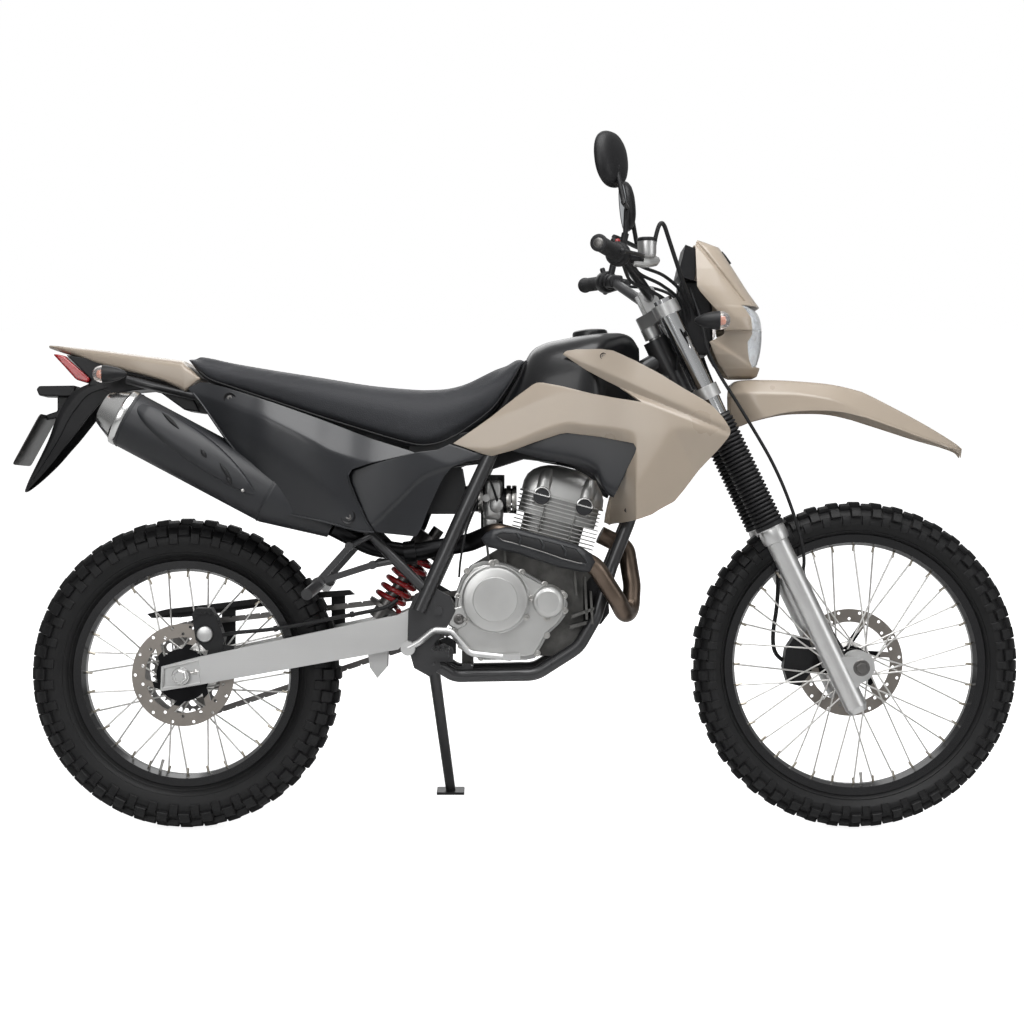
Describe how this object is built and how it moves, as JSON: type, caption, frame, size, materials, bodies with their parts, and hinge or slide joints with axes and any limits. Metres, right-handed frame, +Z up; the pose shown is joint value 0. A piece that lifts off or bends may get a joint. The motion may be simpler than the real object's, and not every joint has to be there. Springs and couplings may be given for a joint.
{
  "type": "dual sport motorcycle",
  "caption": "Dual sport motorcycle parked on its side stand, with a turning fork, spoked wheels with knobbly tyres, a finned engine and a high silencer.",
  "frame": {"origin": "on the floor, under the middle of the whole", "axes": "+X forward, +Y to the left and level, +Z up; the motorcycle leans 9 degrees to the left on its stand"},
  "size_m": [2.1344, 0.8114, 1.4722],
  "materials": {
    "black_paint": "satin black paint",
    "black_plastic": "fine matte grain",
    "black_rim": "gloss black",
    "black_rubber": "matte black",
    "black_silencer": "matte black",
    "chain_steel": "oiled steel",
    "chrome": "hard chrome",
    "dark_alloy": "dark anodised alloy",
    "disc_steel": "ground steel",
    "engine_alloy": "cast alloy, painted silver grey",
    "engine_covers": "smooth satin silver",
    "frame_paint": "satin dark grey paint",
    "greige_plastic": "warm grey beige, satin gloss",
    "header_steel": "steel browned by heat",
    "lamp_glass": "clear",
    "polished_alloy": "bright machined alloy",
    "red_lens": "clear red",
    "red_spring": "gloss red",
    "satin_alloy": "satin silver alloy",
    "seat_vinyl": "black grained vinyl",
    "signal_lens": "clear lens over an orange bulb",
    "spoke_steel": "bright steel spokes on a black hub",
    "tyre_rubber": "matte black"
  },
  "bodies": {
    "chassis": {"main_frame": "frame_paint", "swingarm": "satin_alloy", "crankcase": "engine_alloy", "cylinder": "engine_alloy", "engine_covers": "engine_covers", "exhaust_pipe": "header_steel", "silencer": "black_silencer", "silencer_cap": "polished_alloy", "exhaust_shield": "black_silencer", "intake": "black_rubber", "fuel_tank": "black_paint", "tank_cap": "black_plastic", "tank_side_panels": "black_plastic", "shrouds": "greige_plastic", "seat": "seat_vinyl", "side_covers": "black_plastic", "rear_panels": "black_plastic", "tail_cowl": "greige_plastic", "rear_mudguard": "black_plastic", "tail_lamp": "red_lens", "rear_signals": "signal_lens", "rear_shock": "black_paint", "shock_spring": "red_spring", "chain": "chain_steel", "chain_guard": "black_plastic", "rear_caliper": "black_paint", "foot_controls": "satin_alloy", "footpegs": "black_paint"},
    "steering_head": {"triple_clamps": "dark_alloy", "fork_tubes": "chrome", "fork_gaiters": "black_rubber", "fork_lowers": "satin_alloy", "handlebar": "black_paint", "grips": "black_rubber", "hand_controls": "black_plastic", "mirrors": "black_plastic", "front_fender": "greige_plastic", "headlight_cowl": "greige_plastic", "headlight_lens": "lamp_glass", "front_signals": "signal_lens", "instrument": "black_plastic", "front_caliper": "black_paint", "front_cables": "black_rubber"},
    "front_wheel": {"front_tyre": "tyre_rubber", "front_rim": "black_rim", "front_hub": "spoke_steel", "front_disc": "disc_steel"},
    "rear_wheel": {"rear_tyre": "tyre_rubber", "rear_rim": "black_rim", "rear_hub": "spoke_steel", "rear_disc": "disc_steel", "rear_sprocket": "chain_steel"},
    "side_stand": {"side_stand": "black_paint"}
  },
  "joints": [
    {"name": "steering_turn", "type": "hinge", "parent": "chassis", "child": "steering_head", "pos_m": [0.32084, -0.03332, 0.97928], "axis": [-0.4305, 0.1412, 0.8915], "range_deg": [-43, 43]},
    {"name": "front_wheel_spin", "type": "hinge", "parent": "steering_head", "child": "front_wheel", "pos_m": [0.71917, -0.13344, 0.34716], "axis": [0, 0.9877, -0.1564], "continuous": true},
    {"name": "rear_wheel_spin", "type": "hinge", "parent": "chassis", "child": "rear_wheel", "pos_m": [-0.70786, -0.13625, 0.32938], "axis": [0, 0.9877, -0.1564], "continuous": true},
    {"name": "side_stand_fold", "type": "hinge", "parent": "chassis", "child": "side_stand", "pos_m": [-0.18786, -0.0145, 0.3182], "axis": [0, 0.9887, 0.1502], "range_deg": [0, 95]}
  ]
}
